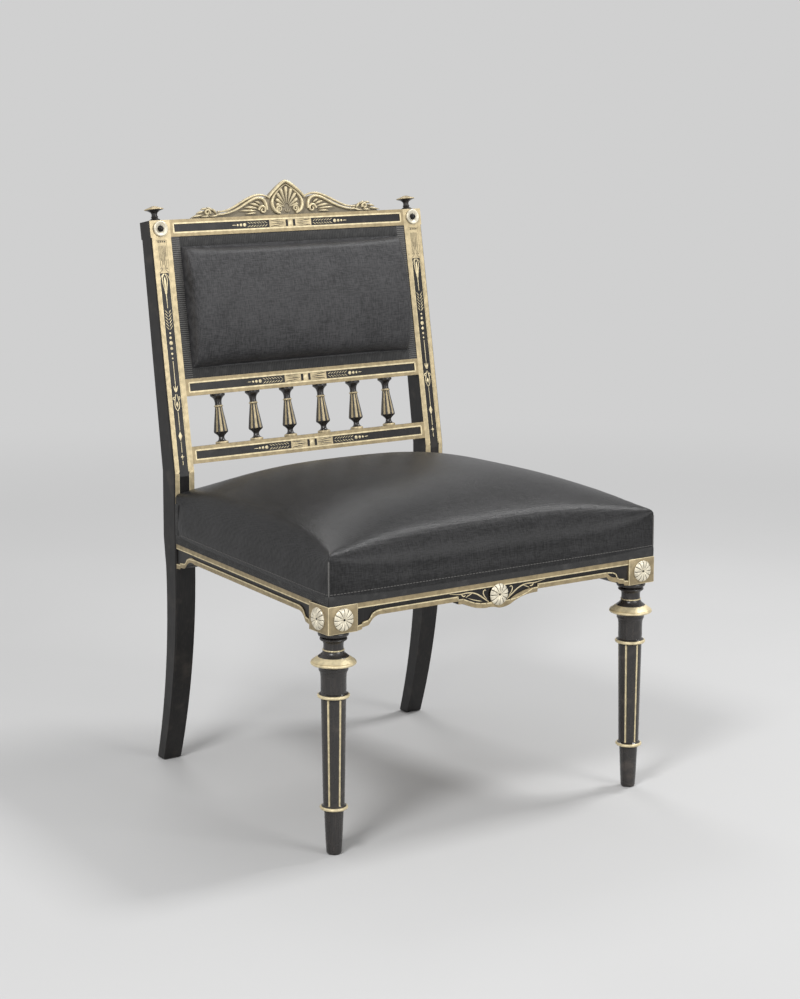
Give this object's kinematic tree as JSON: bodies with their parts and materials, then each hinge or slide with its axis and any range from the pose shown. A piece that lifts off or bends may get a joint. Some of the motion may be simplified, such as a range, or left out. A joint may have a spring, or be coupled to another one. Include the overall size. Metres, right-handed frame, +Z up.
{
  "type": "side chair",
  "caption": "Side chair with turned front legs, raked rear posts, a stuffed seat, a padded back over a row of spindles, and a carved crest.",
  "frame": {"origin": "on the floor, under the middle of the chair's overall outline", "axes": "+Z up, the sitter faces -Y, +X to the right of someone facing the chair"},
  "size_m": [0.5666, 0.5584, 0.8536],
  "materials": {
    "ebonized_wood": "satin",
    "gilded_wood": "satin",
    "unfinished_wood": "matte",
    "horsehair_cover": "satin",
    "gimp_braid": "matte",
    "jute_linen": "matte"
  },
  "bodies": {
    "root": {"front_leg_right": "ebonized_wood", "front_leg_left": "ebonized_wood", "rear_post_right": "ebonized_wood", "rear_post_left": "ebonized_wood", "front_seat_rail": "ebonized_wood", "side_seat_rail_right": "ebonized_wood", "side_seat_rail_left": "ebonized_wood", "lower_back_rail": "ebonized_wood", "middle_back_rail": "ebonized_wood", "top_back_rail": "ebonized_wood", "back_spindles": "ebonized_wood", "finials": "ebonized_wood", "crest_carving": "gilded_wood", "apron_rosette": "gilded_wood", "front_rosette_right": "gilded_wood", "front_rosette_left": "gilded_wood", "side_rosette_right": "gilded_wood", "side_rosette_left": "gilded_wood", "stile_roundels": "gilded_wood", "rear_seat_rail": "unfinished_wood", "front_corner_brace_right": "unfinished_wood", "front_corner_brace_left": "unfinished_wood", "rear_corner_brace_right": "unfinished_wood", "rear_corner_brace_left": "unfinished_wood", "slip_frame_bottom": "unfinished_wood", "slip_frame_top": "unfinished_wood", "slip_frame_stile_right": "unfinished_wood", "slip_frame_stile_left": "unfinished_wood", "crest_dowels": "unfinished_wood", "seat_cushion": "horsehair_cover", "back_cushion": "horsehair_cover", "outside_back_cloth": "horsehair_cover", "seat_gimp": "gimp_braid", "seat_end_gimp_right": "gimp_braid", "seat_end_gimp_left": "gimp_braid", "back_gimp": "gimp_braid", "seat_webbing": "jute_linen", "seat_burlap": "jute_linen", "back_burlap": "jute_linen"}
  },
  "joints": []
}
